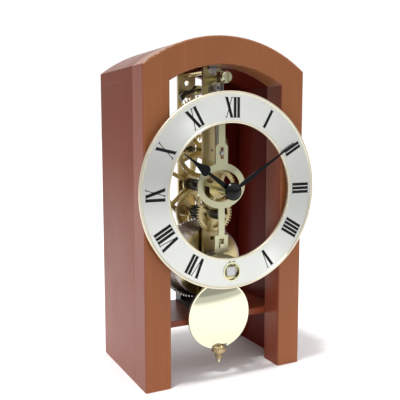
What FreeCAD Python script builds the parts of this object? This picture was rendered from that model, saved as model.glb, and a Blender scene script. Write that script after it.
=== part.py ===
import FreeCAD, Part
import math
import os
import Sketcher
from types import SimpleNamespace
from FreeCAD import Placement, Rotation, Vector

# A spring-driven skeleton mantel clock. Millimetres; +Z up, the front faces -Y, the case is symmetric
# about X = 0, and the origin is at floor level under the middle of the whole clock. Depths in the sheet
# are counted from the case's front face; origin_depth is the depth of the origin behind that face.

DIMENSIONS = {
    # wooden case
    "case_width": 96.0,
    "case_depth": 66.0,
    "origin_depth": 28.7,
    "case_height": 184.0,
    "corner_height": 167.5,
    "frame_depth": 14.2,
    "leg_width": 14.5,
    "frame_band": 14.6,
    "edge_rounding": 1.0,
    "side_thickness": 6.4,
    "roof_thickness": 9.0,
    "shelf_underside": 27.8,
    "shelf_thickness": 3.6,
    "shelf_back": 52.0,
    "back_frame_thickness": 5.0,
    "back_frame_band": 5.5,
    "back_opening_half_width": 31.0,
    # dial
    "dial_height": 103.3,
    "dial_radius": 52.3,
    "dial_opening_radius": 35.8,
    "outer_bezel_width": 1.4,
    "inner_bezel_width": 1.2,
    "dial_back": -3.2,
    "chapter_front": -4.4,
    "outer_bezel_front": -5.0,
    "inner_bezel_front": -4.8,
    "grommet_radius": 5.2,
    "grommet_hole_radius": 4.5,
    "grommet_wall": 0.4,
    "grommet_back": -2.6,
    "foot_spread": 41.0,
    "foot_rise": 12.0,
    "foot_radius": 2.2,
    "foot_pin_radius": 0.8,
    "foot_pin_length": 5.0,
    # plates and pillar
    "front_plate_front": 18.0,
    "back_plate_front": 50.0,
    "plate_thickness": 2.0,
    "plate_half_width": 5.6,
    "plate_bottom": 31.8,
    "plate_top": 173.0,
    "pillar_height": 168.3,
    "pillar_radius": 2.4,
    "pillar_thread_radius": 1.2,
    "screw_head_radius": 2.9,
    "screw_head_height": 1.3,
    "base_half_width": 8.0,
    "base_block_length": 7.0,
    "base_block_height": 7.2,
    "base_strip_height": 2.8,
    "plate_screw_height": 35.2,
    "plate_screw_length": 5.0,
    # arbor heights
    "barrel_height": 60.2,
    "second_height": 87.4,
    "minute_post_height": 89.3,
    "centre_height": 103.3,
    "third_height": 124.2,
    "escape_height": 142.0,
    "anchor_height": 158.0,
    "suspension_height": 163.0,
    "flex_height": 160.3,
    "pivot_clearance": 0.05,
    # barrel and winding work
    "drum_radius": 20.3,
    "drum_wall": 0.8,
    "drum_front": 22.0,
    "great_wheel_front": 34.5,
    "great_wheel_back": 36.5,
    "cap_thickness": 1.1,
    "barrel_arbor_radius": 2.4,
    "winding_square": 5.4,
    "winding_square_front": -4.0,
    "winding_square_back": 2.5,
    "ratchet_front": 14.4,
    "ratchet_back": 16.2,
    "ratchet_radius": 8.4,
    "ratchet_root_radius": 7.3,
    "click_pivot_offset": 3.6,
    "click_pivot_drop": 12.7,
    "sight_hole_height": 74.8,
    # train
    "arbor_radius": 1.3,
    "fine_arbor_radius": 0.9,
    "pivot_radius": 0.6,
    "centre_arbor_radius": 1.2,
    "wheel_thickness": 1.2,
    "second_wheel_front": 38.5,
    "centre_wheel_front": 44.3,
    "third_wheel_front": 29.0,
    "escape_wheel_front": 36.0,
    "cock_front": 41.5,
    "cock_thickness": 2.0,
    "cock_half_width": 3.0,
    # motion work
    "cannon_front": 14.2,
    "minute_wheel_front": 14.9,
    "minute_wheel_thickness": 1.0,
    "hour_wheel_front": 10.6,
    "hour_wheel_thickness": 1.0,
    "hour_pipe_radius": 2.9,
    "cannon_pipe_radius": 2.0,
    "hour_hand_front": -4.3,
    "minute_hand_front": -5.5,
    "hand_thickness": 0.5,
    "nut_front": -8.6,
    "nut_radius": 4.75,
    "nut_dome": 2.6,
    "hour_stem_half_width": 1.45,
    "hour_neck_half_width": 0.85,
    "hour_neck_reach": 16.9,
    "spade_half_width": 2.8,
    "spade_reach": 19.8,
    "spade_radius": 2.2,
    "spade_point_half_width": 0.6,
    "spade_point_reach": 28.4,
    "hour_hand_length": 34.5,
    "minute_root_half_width": 0.8,
    "minute_belly_half_width": 1.35,
    "minute_belly_reach": 11.5,
    "minute_waist_half_width": 0.65,
    "minute_waist_reach": 27.0,
    "minute_hand_length": 46.0,
    "hour_hand_angle": 306.0,
    "minute_hand_angle": 57.4,
    # escapement
    "anchor_front": 35.6,
    "anchor_thickness": 2.0,
    "escape_radius": 13.0,
    "escape_root_radius": 10.9,
    "pallet_radius": 13.8,
    "anchor_inner_radius": 14.8,
    "anchor_outer_radius": 17.0,
    "anchor_hub_radius": 2.8,
    "anchor_cock_front": 15.8,
    "anchor_cock_half_width": 4.2,
    "anchor_cock_bottom": 151.0,
    "crutch_front": 11.7,
    "crutch_thickness": 0.8,
    "crutch_half_width": 1.4,
    "crutch_pin_height": 123.0,
    "crutch_pin_radius": 1.1,
    # pendulum
    "pendulum_front": 6.9,
    "pendulum_thickness": 1.0,
    "suspension_post_radius": 1.9,
    "suspension_post_front": 3.4,
    "suspension_screw_radius": 3.1,
    "suspension_screw_front": 0.8,
    "rod_half_width": 2.0,
    "rod_top": 150.0,
    "slot_block_half_width": 3.7,
    "slot_block_top": 128.2,
    "loop_height": 105.3,
    "loop_half_width": 14.6,
    "loop_half_height": 12.4,
    "loop_band": 3.2,
    "loop_band_tall": 3.7,
    "hook_block_half_width": 4.1,
    "hook_block_bottom": 68.6,
    "hook_block_top": 78.2,
    "hanger_loop_half_width": 11.4,
    "hanger_loop_half_height": 6.9,
    "hanger_band": 1.9,
    "bob_height": 32.5,
    "bob_radius": 19.0,
    "bob_half_thickness": 2.7,
    "bob_rim_half_thickness": 0.7,
    "bob_rim_width": 0.8,
    "bob_skin": 0.6,
    "bob_rod_radius": 0.9,
    "bob_rod_bottom": 5.2,
    "bob_rod_depth": 9.6,
    "nut_notch_radius": 4.8,
    "nut_notch_top": 15.6,
    "rating_nut_radius": 4.2,
    "rating_nut_top": 15.2,
    "rating_nut_bottom": 7.6,
}

# Tooth counts and modules of each mesh: wheel teeth, pinion leaves, and the module that sets their distance.
GREAT_TEETH, SECOND_LEAVES = 78, 12
SECOND_TEETH, CENTRE_LEAVES = 60, 15
CENTRE_TEETH, THIRD_LEAVES = 84, 7
THIRD_TEETH, ESCAPE_LEAVES = 84, 7
MINUTE_TEETH, CANNON_LEAVES = 42, 14
HOUR_TEETH, MINUTE_LEAVES = 48, 12
ESCAPE_TEETH = 36
RATCHET_TEETH = 20

doc = FreeCAD.newDocument("MantelClock")
sheet = doc.addObject("Spreadsheet::Sheet", "Dimensions")
for row, (alias, number) in enumerate(DIMENSIONS.items(), start=1):
    sheet.set(f"A{row}", alias)
    sheet.set(f"B{row}", str(number))
    sheet.setAlias(f"B{row}", alias)
doc.recompute()


class Size:
    """A length and the spreadsheet expression that gives it, kept together through arithmetic."""

    def __init__(self, value, text):
        self.value = float(value)
        self.text = text

    def __add__(self, other):
        other = as_size(other)
        return Size(self.value + other.value, f"({self.text} + {other.text})")

    def __sub__(self, other):
        other = as_size(other)
        return Size(self.value - other.value, f"({self.text} - {other.text})")

    def __mul__(self, other):
        other = as_size(other)
        return Size(self.value * other.value, f"({self.text} * {other.text})")

    def __truediv__(self, other):
        other = as_size(other)
        return Size(self.value / other.value, f"({self.text} / {other.text})")

    def __neg__(self):
        return Size(-self.value, f"(-{self.text})")


def as_size(number):
    return number if isinstance(number, Size) else Size(number, f"({float(number):.6f})")


def root(size):
    return Size(math.sqrt(size.value), f"sqrt({size.text})")


d = SimpleNamespace(**{alias: Size(sheet.get(alias), f"Dimensions.{alias}") for alias in DIMENSIONS})
parts = []


def bind(thing, name, size):
    """Sets a property from a size, and binds it to the spreadsheet."""
    thing.setExpression(name, as_size(size).text)


def finish(thing, label, x=0.0, y=0.0, z=0.0, turn=0.0):
    """Names a finished piece, stands it at x, y, z and turns it clockwise as seen from the front."""
    thing.Label = label
    x, y, z, turn = (as_size(value) for value in (x, y, z, turn))
    y = y - d.origin_depth
    thing.Placement = Placement(Vector(x.value, y.value, z.value), Rotation(Vector(0, 1, 0), turn.value))
    for name, size in (("x", x), ("y", y), ("z", z)):
        bind(thing, f"Placement.Base.{name}", size)
    parts.append(thing)
    return thing


# ---------------------------------------------------------------- sketches and features


def new_body(label):
    return doc.addObject("PartDesign::Body", "Body_" + label)


def new_sketch(body, role, offset=0.0):
    """A sketch on one of the body's origin planes, moved along its normal by offset."""
    sketch = body.newObject("Sketcher::SketchObject", "Sketch")
    plane = next(item for item in body.Origin.OriginFeatures if item.Role == role)
    sketch.AttachmentSupport = [(plane, "")]
    sketch.MapMode = "FlatFace"
    offset = as_size(offset)
    sketch.AttachmentOffset = Placement(Vector(0, 0, offset.value), Rotation())
    bind(sketch, "AttachmentOffset.Base.z", offset)
    return sketch


def locate(sketch, geometry, position, x, y):
    """Ties a point of the sketch to x, y."""
    for kind, size, axis in (("DistanceX", x, -2), ("DistanceY", y, -1)):
        if size.value == 0:
            sketch.addConstraint(Sketcher.Constraint("PointOnObject", geometry, position, axis))
        else:
            number = sketch.addConstraint(
                Sketcher.Constraint(kind, -1, 1, geometry, position, size.value)
            )
            sketch.setExpression(f"Constraints[{number}]", size.text)


def circle(sketch, x, y, radius):
    x, y, radius = as_size(x), as_size(y), as_size(radius)
    centre = Vector(x.value, y.value, 0)
    number = sketch.addGeometry(Part.Circle(centre, Vector(0, 0, 1), radius.value))
    locate(sketch, number, 3, x, y)
    constraint = sketch.addConstraint(Sketcher.Constraint("Radius", number, radius.value))
    sketch.setExpression(f"Constraints[{constraint}]", radius.text)


def arc_through(start, end, radius):
    """The arc under half a turn from start to end; it curves to the left where radius is positive."""
    chord = end - start
    side = Vector(-chord.y, chord.x, 0).normalize()
    half = chord.Length / 2
    height = math.sqrt(max(radius * radius - half * half, 0.0))
    turn = 1 if radius > 0 else -1
    centre = start + chord * 0.5 + side * (height * turn)
    middle = centre - side * (abs(radius) * turn)
    return Part.Arc(start, middle, end) if turn > 0 else Part.Arc(end, middle, start)


def outline(sketch, corners):
    """A closed loop. A corner is (x, y), or (x, y, radius) where the run after it is an arc."""
    corners = [tuple(as_size(value) for value in corner) for corner in corners]
    points = [Vector(corner[0].value, corner[1].value, 0) for corner in corners]
    ends = []
    for index, corner in enumerate(corners):
        start, end = points[index], points[(index + 1) % len(points)]
        if len(corner) == 2:
            number = sketch.addGeometry(Part.LineSegment(start, end))
            ends.append((number, 1, 2))
            continue
        number = sketch.addGeometry(arc_through(start, end, corner[2].value))
        ends.append((number, 1, 2) if corner[2].value > 0 else (number, 2, 1))
    for index, (number, begin, _) in enumerate(ends):
        before, _, finish_point = ends[index - 1]
        sketch.addConstraint(Sketcher.Constraint("Coincident", before, finish_point, number, begin))
        locate(sketch, number, begin, corners[index][0], corners[index][1])
        if len(corners[index]) == 3:
            radius = corners[index][2]
            size = radius if radius.value > 0 else -radius
            constraint = sketch.addConstraint(Sketcher.Constraint("Radius", number, size.value))
            sketch.setExpression(f"Constraints[{constraint}]", size.text)


def rectangle(sketch, left, bottom, right, top):
    outline(sketch, [(left, bottom), (right, bottom), (right, top), (left, top)])


def oval(sketch, y, half_width, half_height, side_radius):
    """A four-centred oval about x = 0: two wide arcs that run smoothly into two end arcs."""
    top_radius = (
        half_width * half_width + half_height * half_height - half_width * side_radius * 2
    ) / ((half_height - side_radius) * 2)
    reach = half_width - side_radius
    joint_x = reach + side_radius * reach / (top_radius - side_radius)
    joint_y = side_radius * (top_radius - half_height) / (top_radius - side_radius)
    outline(
        sketch,
        [
            (joint_x, y - joint_y, side_radius),
            (joint_x, y + joint_y, top_radius),
            (-joint_x, y + joint_y, side_radius),
            (-joint_x, y - joint_y, top_radius),
        ],
    )


def pad_sketch(body, sketch, length):
    feature = body.newObject("PartDesign::Pad", "Pad")
    feature.Profile = sketch
    bind(feature, "Length", length)
    return feature


def slab(body, front, back, *loops):
    """A flat piece: its loops are drawn in X and Z, and it lies from front to back in Y."""
    sketch = new_sketch(body, "XZ_Plane", -as_size(back))
    for draw in loops:
        draw(sketch)
    return pad_sketch(body, sketch, as_size(back) - front)


def cut_slab(body, front, back, *loops):
    """Cuts a flat pocket through the body between front and back."""
    sketch = new_sketch(body, "XZ_Plane", -as_size(front))
    for draw in loops:
        draw(sketch)
    feature = body.newObject("PartDesign::Pocket", "Pocket")
    feature.Profile = sketch
    bind(feature, "Length", as_size(back) - front)
    return feature


def turned(body, steps, bore=None):
    """A turned piece about the Y axis: steps are (start, end, radius) along Y, in order."""
    profile = []
    for start, end, radius in steps:
        for corner in ((radius, start), (radius, end)):
            if not profile or any(a.value != b.value for a, b in zip(profile[-1], corner)):
                profile.append(corner)
    inner = as_size(0.0) if bore is None else bore
    profile = [(inner, steps[0][0])] + profile + [(inner, steps[-1][1])]
    sketch = new_sketch(body, "XY_Plane")
    outline(sketch, profile)
    return spin(body, sketch, "V_Axis")


def spin(body, sketch, axis):
    feature = body.newObject("PartDesign::Revolution", "Revolution")
    feature.Profile = sketch
    feature.ReferenceAxis = (sketch, [axis])
    feature.Angle = 360
    return feature


def round_edges(body, feature, radius, choose):
    """Rounds the edges of the feature that choose accepts."""
    doc.recompute()
    names = [f"Edge{i}" for i, edge in enumerate(feature.Shape.Edges, start=1) if choose(edge)]
    fillet = body.newObject("PartDesign::Fillet", "Fillet")
    fillet.Base = (feature, names)
    bind(fillet, "Radius", radius)
    return fillet


def loop_of(function, *values):
    """A drawing step to run later in a sketch."""
    return lambda sketch: function(sketch, *values)


# ---------------------------------------------------------------- toothed wheels


def polar(radius, angle):
    """A point in the XZ plane, its angle counted from +Z towards +X."""
    return Vector(radius * math.sin(angle), 0, radius * math.cos(angle))


def arc_about_axis(radius, start, end):
    return Part.Arc(polar(radius, start), polar(radius, (start + end) / 2), polar(radius, end)).toShape()


def tooth_edges(teeth, module, width, tip_height, root_depth, phase):
    """The outline of a clock wheel or pinion: radial flanks below the pitch circle, a pointed arch above it.

    width is the tooth's share of the pitch, and heights are in modules."""
    pitch_radius = teeth * module / 2
    root_radius = pitch_radius - root_depth * module
    tip_radius = pitch_radius + tip_height * module
    pitch_angle = 2 * math.pi / teeth
    half = width * pitch_angle / 2
    arch_radius = pitch_radius + 0.55 * tip_height * module
    edges = []
    for index in range(teeth):
        middle = phase + index * pitch_angle
        edges.append(Part.makeLine(polar(root_radius, middle - half), polar(pitch_radius, middle - half)))
        rise = (polar(pitch_radius, middle - half), polar(arch_radius, middle - 0.72 * half))
        edges.append(Part.Arc(*rise, polar(tip_radius, middle - 0.16 * half)).toShape())
        edges.append(arc_about_axis(tip_radius, middle - 0.16 * half, middle + 0.16 * half))
        fall = (polar(tip_radius, middle + 0.16 * half), polar(arch_radius, middle + 0.72 * half))
        edges.append(Part.Arc(*fall, polar(pitch_radius, middle + half)).toShape())
        edges.append(Part.makeLine(polar(pitch_radius, middle + half), polar(root_radius, middle + half)))
        edges.append(arc_about_axis(root_radius, middle + half, middle + pitch_angle - half))
    return edges


def wheel_teeth(teeth, module, phase):
    return tooth_edges(teeth, module, 0.44, 1.0, 1.35, phase)


def pinion_leaves(leaves, module, phase):
    return tooth_edges(leaves, module, 0.34, 0.62, 1.45, phase)


def window_wire(inner, outer, spoke, start, end):
    """One opening between two spokes."""
    near, far = math.asin(spoke / 2 / inner), math.asin(spoke / 2 / outer)
    edges = [
        arc_about_axis(outer, start + far, end - far),
        Part.makeLine(polar(outer, end - far), polar(inner, end - near)),
        arc_about_axis(inner, end - near, start + near),
        Part.makeLine(polar(inner, start + near), polar(outer, start + far)),
    ]
    return Part.Wire(edges)


def flat_wheel(edges, front, thickness, bore, crossings=0, hub=0.0, rim=0.0, spoke=0.0, turn=0.0):
    """A toothed disc with a bore, crossed out between its hub and rim where crossings is not 0."""
    wires = [Part.Wire(edges)]
    for index in range(crossings):
        start = turn + 2 * math.pi * index / crossings
        wires.append(window_wire(hub, rim, spoke, start, start + 2 * math.pi / crossings))
    disc = Part.Face(wires, "Part::FaceMakerBullseye").extrude(Vector(0, thickness, 0))
    disc.translate(Vector(0, front, 0))
    return disc.cut(tube_y(bore, front, front + thickness))


def tube_y(radius, front, back, bore=0.0):
    """A round bar or tube along Y about the origin."""
    bar = Part.makeCylinder(radius, back - front, Vector(0, front, 0), Vector(0, 1, 0))
    if bore:
        bar = bar.cut(Part.makeCylinder(bore, back - front, Vector(0, front, 0), Vector(0, 1, 0)))
    return bar


def shaped(label, shape, x=0.0, z=0.0):
    """A piece whose outline comes from a formula, made in code from the sheet's sizes."""
    feature = doc.addObject("Part::Feature", "Shape_" + label)
    feature.Shape = Part.makeCompound(shape.Solids)
    return finish(feature, label, x=x, z=z)


def module_for(distance, wheel, pinion):
    return 2 * distance / (wheel + pinion)


GREAT_MODULE = module_for(d.second_height.value - d.barrel_height.value, GREAT_TEETH, SECOND_LEAVES)
SECOND_MODULE = module_for(d.centre_height.value - d.second_height.value, SECOND_TEETH, CENTRE_LEAVES)
CENTRE_MODULE = module_for(d.third_height.value - d.centre_height.value, CENTRE_TEETH, THIRD_LEAVES)
THIRD_MODULE = module_for(d.escape_height.value - d.third_height.value, THIRD_TEETH, ESCAPE_LEAVES)
MINUTE_MODULE = module_for(d.centre_height.value - d.minute_post_height.value, MINUTE_TEETH, CANNON_LEAVES)
HOUR_MODULE = module_for(d.centre_height.value - d.minute_post_height.value, HOUR_TEETH, MINUTE_LEAVES)


def gap_up(teeth):
    """The phase that turns a gap, not a tooth, straight up."""
    return math.pi / teeth


def gap_down(teeth):
    """The phase that turns a gap straight down."""
    return math.pi / teeth if teeth % 2 == 0 else 0.0


# ---------------------------------------------------------------- wooden case

half_case = d.case_width / 2
arch_rise = d.case_height - d.corner_height
arch_radius = (half_case * half_case + arch_rise * arch_rise) / (arch_rise * 2)
arch_centre = d.case_height - arch_radius
leg_inside = half_case - d.leg_width
wall_inside = half_case - d.side_thickness
opening_radius = arch_radius - d.frame_band
opening_spring = arch_centre + root(opening_radius * opening_radius - leg_inside * leg_inside)
ceiling_radius = arch_radius - d.roof_thickness
wall_top = arch_centre + root(ceiling_radius * ceiling_radius - wall_inside * wall_inside)
shelf_top = d.shelf_underside + d.shelf_thickness
back_radius = ceiling_radius - d.back_frame_band
back_inside = d.back_opening_half_width
back_spring = arch_centre + root(back_radius * back_radius - back_inside * back_inside)
foot_places = [(side, rise) for side in (-1, 1) for rise in (-1, 1)]


def arched_frame(sketch, outside, shoulder, outer_radius, inside, spring, inner_radius):
    """Two legs joined by an arched head, from outside to inside the legs."""
    outline(
        sketch,
        [
            (-outside, 0),
            (-inside, 0),
            (-inside, spring, -inner_radius),
            (inside, spring),
            (inside, 0),
            (outside, 0),
            (outside, shoulder, outer_radius),
            (-outside, shoulder),
        ],
    )


def roof_outline(sketch):
    outline(
        sketch,
        [
            (-half_case, wall_top),
            (-wall_inside, wall_top, -ceiling_radius),
            (wall_inside, wall_top),
            (half_case, wall_top),
            (half_case, d.corner_height, arch_radius),
            (-half_case, d.corner_height),
        ],
    )


def is_front_edge(edge):
    """An edge in the case's front face, apart from the two along the floor."""
    box = edge.BoundBox
    return abs(box.YMin) < 1e-6 and abs(box.YMax) < 1e-6 and box.ZMax > 1


def make_case():
    frame = new_body("front_frame")
    head = (half_case, d.corner_height, arch_radius, leg_inside, opening_spring, opening_radius)
    base = slab(frame, 0, d.frame_depth, loop_of(arched_frame, *head))
    round_edges(frame, base, d.edge_rounding, is_front_edge)
    holes = [
        loop_of(circle, d.foot_spread * side, d.dial_height + d.foot_rise * rise, d.foot_pin_radius)
        for side, rise in foot_places
    ]
    for hole in holes:
        cut_slab(frame, 0, d.foot_pin_length, hole)
    finish(frame, "front_frame")

    for label, left in (("side_panel_left", -half_case), ("side_panel_right", wall_inside)):
        panel = doc.addObject("Part::Box", "Box_" + label)
        bind(panel, "Length", d.side_thickness)
        bind(panel, "Width", d.case_depth - d.frame_depth)
        bind(panel, "Height", wall_top)
        finish(panel, label, x=left, y=d.frame_depth)

    roof = new_body("roof_panel")
    slab(roof, d.frame_depth, d.case_depth, roof_outline)
    finish(roof, "roof_panel")

    rear = new_body("back_frame")
    head = (wall_inside, wall_top, ceiling_radius, back_inside, back_spring, back_radius)
    slab(rear, d.case_depth - d.back_frame_thickness, d.case_depth, loop_of(arched_frame, *head))
    finish(rear, "back_frame")

    shelf = new_body("seat_board")
    sketch = new_sketch(shelf, "XY_Plane", d.shelf_underside)
    rectangle(sketch, -wall_inside, d.frame_depth, wall_inside, d.shelf_back)
    for depth in base_screw_depths:
        circle(sketch, 0, depth, base_screw_radius)
    pad_sketch(shelf, sketch, d.shelf_thickness)
    finish(shelf, "seat_board")


# ---------------------------------------------------------------- screws and other turned groups


def screw(head_radius, head_height, shank_radius, shank_length, slot_turn=0.0):
    """A slotted cheese-head screw along +Y: the head's underside is at Y = 0."""
    head = tube_y(head_radius, -head_height, 0)
    rounding = 0.25 * head_height
    rim = [edge for edge in head.Edges if abs(edge.BoundBox.YMax + head_height) < 1e-6]
    head = head.makeChamfer(rounding, rim)
    slot_width, slot_depth = 0.28 * head_radius, 0.45 * head_height
    slot = Part.makeBox(3 * head_radius, slot_depth, slot_width)
    slot.translate(Vector(-1.5 * head_radius, -head_height, -slot_width / 2))
    slot.rotate(Vector(), Vector(0, 1, 0), slot_turn)
    return head.cut(slot).fuse(tube_y(shank_radius, 0, shank_length)).removeSplitter()


def placed(shape, x, y, z, turn=0.0, axis=(0, 0, 1)):
    """A copy of the shape, turned about the axis and then moved to x, y, z."""
    copy = shape.copy()
    copy.rotate(Vector(), Vector(*axis), turn)
    copy.translate(Vector(x, y, z))
    return copy


def group(label, shapes):
    """Identical pieces that share one node, each its own solid."""
    solids = [solid for shape in shapes for solid in shape.Solids]
    feature = doc.addObject("Part::Feature", "Group_" + label)
    feature.Shape = Part.makeCompound(solids)
    return finish(feature, label)


plate_back = d.front_plate_front + d.plate_thickness
rear_face = d.back_plate_front + d.plate_thickness
base_screw_radius = as_size(1.5)
base_screw_depths = [plate_back + d.base_block_length / 2, d.back_plate_front - d.base_block_length / 2]
base_screw_reach = 6.2


# ---------------------------------------------------------------- dial


def bead(sketch, inner, outer, front, back):
    """The section of a rounded moulding between two radii."""
    width = outer - inner
    rise = width * 0.28
    radius = (width * width / 4 + rise * rise) / (rise * 2)
    outline(sketch, [(inner, front + rise, radius), (outer, front + rise), (outer, back), (inner, back)])


def make_dial():
    ring_outside = d.dial_radius - d.outer_bezel_width
    ring_inside = d.dial_opening_radius + d.inner_bezel_width
    key_hole = d.barrel_height - d.dial_height
    ring = new_body("chapter_ring")
    slab(
        ring,
        d.chapter_front,
        d.dial_back,
        loop_of(circle, 0, 0, ring_outside),
        loop_of(circle, 0, 0, ring_inside),
        loop_of(circle, 0, key_hole, d.grommet_hole_radius + d.grommet_wall),
    )
    finish(ring, "chapter_ring", z=d.dial_height)

    sections = (
        ("dial_outer_bezel", ring_outside, d.dial_radius, d.outer_bezel_front),
        ("dial_inner_bezel", d.dial_opening_radius, ring_inside, d.inner_bezel_front),
    )
    for label, inner, outer, front in sections:
        bezel = new_body(label)
        sketch = new_sketch(bezel, "XY_Plane")
        bead(sketch, inner, outer, front, d.dial_back)
        spin(bezel, sketch, "V_Axis")
        finish(bezel, label, z=d.dial_height)

    grommet = new_body("winding_grommet")
    flange_front = d.chapter_front - d.grommet_wall
    sleeve_radius = d.grommet_hole_radius + d.grommet_wall
    steps = [
        (flange_front, d.chapter_front, d.grommet_radius),
        (d.chapter_front, d.grommet_back, sleeve_radius),
    ]
    turned(grommet, steps, bore=d.grommet_hole_radius)
    finish(grommet, "winding_grommet", z=d.barrel_height)

    foot = tube_y(d.foot_radius.value, d.dial_back.value, 0)
    foot = foot.fuse(tube_y(d.foot_pin_radius.value, 0, d.foot_pin_length.value)).removeSplitter()
    spread, rise = d.foot_spread.value, d.foot_rise.value
    height = d.dial_height.value
    group("dial_feet", [placed(foot, spread * a, 0, height + rise * b) for a, b in foot_places])


# ---------------------------------------------------------------- movement frame


def plate_outline(sketch):
    half = d.plate_half_width
    shoulder = d.plate_top - half * 0.6
    outline(
        sketch,
        [
            (-half, d.plate_bottom),
            (half, d.plate_bottom),
            (half, shoulder, half * 1.14),
            (-half, shoulder),
        ],
    )


def make_plates():
    pivot_hole = d.pivot_radius + d.pivot_clearance
    front_holes = [
        (0, d.barrel_height, d.barrel_arbor_radius + d.pivot_clearance),
        (0, d.second_height, pivot_hole),
        (0, d.minute_post_height, stud_tail_radius),
        (0, d.centre_height, d.centre_arbor_radius + d.pivot_clearance),
        (0, d.third_height, pivot_hole),
        (0, d.escape_height, pivot_hole),
        (0, d.anchor_height, d.fine_arbor_radius * 1.5),
        (0, d.suspension_height, post_tail_radius),
        (0, d.pillar_height, d.pillar_thread_radius),
        (0, d.plate_screw_height, d.pillar_thread_radius),
        (0, anchor_screw_height, small_thread_radius),
        (-d.click_pivot_offset, d.barrel_height - d.click_pivot_drop, small_thread_radius),
        (spring_screw_offset, d.barrel_height - spring_screw_drop, small_thread_radius),
        (0, d.sight_hole_height, sight_hole_radius),
    ]
    front = new_body("front_plate")
    loops = [loop_of(circle, *hole) for hole in front_holes]
    slab(front, d.front_plate_front, plate_back, plate_outline, *loops)
    finish(front, "front_plate")

    rear_holes = [
        (0, d.barrel_height, rear_barrel_pivot + d.pivot_clearance),
        (0, d.centre_height, pivot_hole),
        (0, d.third_height, pivot_hole),
        (0, d.escape_height, pivot_hole),
        (0, d.anchor_height, pivot_hole),
        (0, d.suspension_height, rear_sight_radius),
        (0, d.pillar_height, d.pillar_thread_radius),
        (0, d.plate_screw_height, d.pillar_thread_radius),
        (0, cock_screw_heights[0], small_thread_radius),
        (0, cock_screw_heights[1], small_thread_radius),
    ]
    rear = new_body("back_plate")
    loops = [loop_of(circle, *hole) for hole in rear_holes]
    for middle in (d.escape_height + window_rise, d.third_height - window_rise):
        left, low, high = -window_half_width, middle - window_half_height, middle + window_half_height
        loops.append(loop_of(rectangle, left, low, window_half_width, high))
    slab(rear, d.back_plate_front, rear_face, plate_outline, *loops)
    finish(rear, "back_plate")


def make_movement_frame():
    make_plates()
    thread, waist = d.pillar_thread_radius, d.pillar_radius * 0.8
    collar, depth = as_size(2.5), as_size(6.0)
    end = d.back_plate_front
    pillar = new_body("top_pillar")
    sketch = new_sketch(pillar, "XY_Plane")
    outline(
        sketch,
        [
            (thread, plate_back),
            (d.pillar_radius, plate_back),
            (d.pillar_radius, plate_back + collar),
            (waist, plate_back + collar),
            (waist, end - collar),
            (d.pillar_radius, end - collar),
            (d.pillar_radius, end),
            (thread, end),
            (thread, end - depth),
            (0, end - depth),
            (0, plate_back + depth),
            (thread, plate_back + depth),
        ],
    )
    spin(pillar, sketch, "V_Axis")
    finish(pillar, "top_pillar", z=d.pillar_height)

    top = shelf_top + d.base_block_height
    strip = shelf_top + d.base_strip_height
    block = d.base_block_length
    base = new_body("movement_base")
    sketch = new_sketch(base, "YZ_Plane", -d.base_half_width)
    outline(
        sketch,
        [
            (plate_back, shelf_top),
            (end, shelf_top),
            (end, top),
            (end - block, top),
            (end - block, strip),
            (plate_back + block, strip),
            (plate_back + block, top),
            (plate_back, top),
        ],
    )
    pad_sketch(base, sketch, d.base_half_width * 2)
    screw_hole = loop_of(circle, 0, d.plate_screw_height, thread)
    cut_slab(base, plate_back, plate_back + d.plate_screw_length, screw_hole)
    cut_slab(base, end - d.plate_screw_length, end, screw_hole)
    hole_top = d.shelf_underside + base_screw_reach
    sketch = new_sketch(base, "XY_Plane", hole_top)
    for depth in base_screw_depths:
        circle(sketch, 0, depth, base_screw_radius)
    feature = base.newObject("PartDesign::Pocket", "Pocket")
    feature.Profile = sketch
    bind(feature, "Length", hole_top - shelf_top)
    finish(base, "movement_base")

    length = d.plate_thickness.value + d.plate_screw_length.value
    plate_screw = screw(d.screw_head_radius.value, d.screw_head_height.value, thread.value, length, 35)
    ends = ((d.front_plate_front.value, 0), (rear_face.value, 180))
    for label, height in (("pillar_screws", d.pillar_height), ("plate_screws", d.plate_screw_height)):
        group(label, [placed(plate_screw, 0, depth, height.value, turn) for depth, turn in ends])

    wood_screw = screw(3.0, 1.4, base_screw_radius.value, base_screw_reach, 20)
    underside = d.shelf_underside.value
    upright = placed(wood_screw, 0, 0, 0, 90, (1, 0, 0))
    group("base_screws", [placed(upright, 0, depth.value, underside) for depth in base_screw_depths])


# ---------------------------------------------------------------- barrel and winding work

small_thread_radius = as_size(0.7)
rear_barrel_pivot = as_size(1.6)
window_half_width = as_size(2.9)
window_half_height = as_size(3.8)
window_rise = as_size(8.6)
rear_sight_radius = as_size(1.5)
sight_hole_radius = as_size(1.2)
spring_screw_offset = as_size(3.4)
spring_screw_drop = d.click_pivot_drop + 3.6
anchor_screw_height = d.anchor_cock_bottom + 2.3
cock_screw_heights = (d.barrel_height + 8.0, d.barrel_height + 14.5)
stud_tail_radius = as_size(0.7)
post_tail_radius = as_size(1.2)
BARREL_SCREW_HEAD = 1.6


def spiral_strip(inner, outer, turns, thickness, front, back):
    """A mainspring: a strip wound in half circles, each a little larger than the one before."""
    halves = 2 * turns
    growth = (outer - inner) / halves

    def edge_run(shift):
        edges = []
        for index in range(halves):
            radius = inner + shift + growth * (index + 0.5)
            middle = (growth / 2) * (1 if index % 2 else -1)
            side = -1 if index % 2 else 1
            points = [Vector(middle + radius * side * math.cos(math.pi * k), 0, 0) for k in (0, 1)]
            top = Vector(middle, 0, radius * side)
            edges.append(Part.Arc(points[0], top, points[1]).toShape())
        return edges

    near, far = edge_run(0.0), edge_run(thickness)
    start = Part.makeLine(far[0].Vertexes[0].Point, near[0].Vertexes[0].Point)
    end = Part.makeLine(near[-1].Vertexes[1].Point, far[-1].Vertexes[1].Point)
    face = Part.Face(Part.Wire(Part.__sortEdges__([start] + near + [end] + far)))
    strip = face.extrude(Vector(0, back - front, 0))
    strip.translate(Vector(0, front, 0))
    return strip


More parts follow.
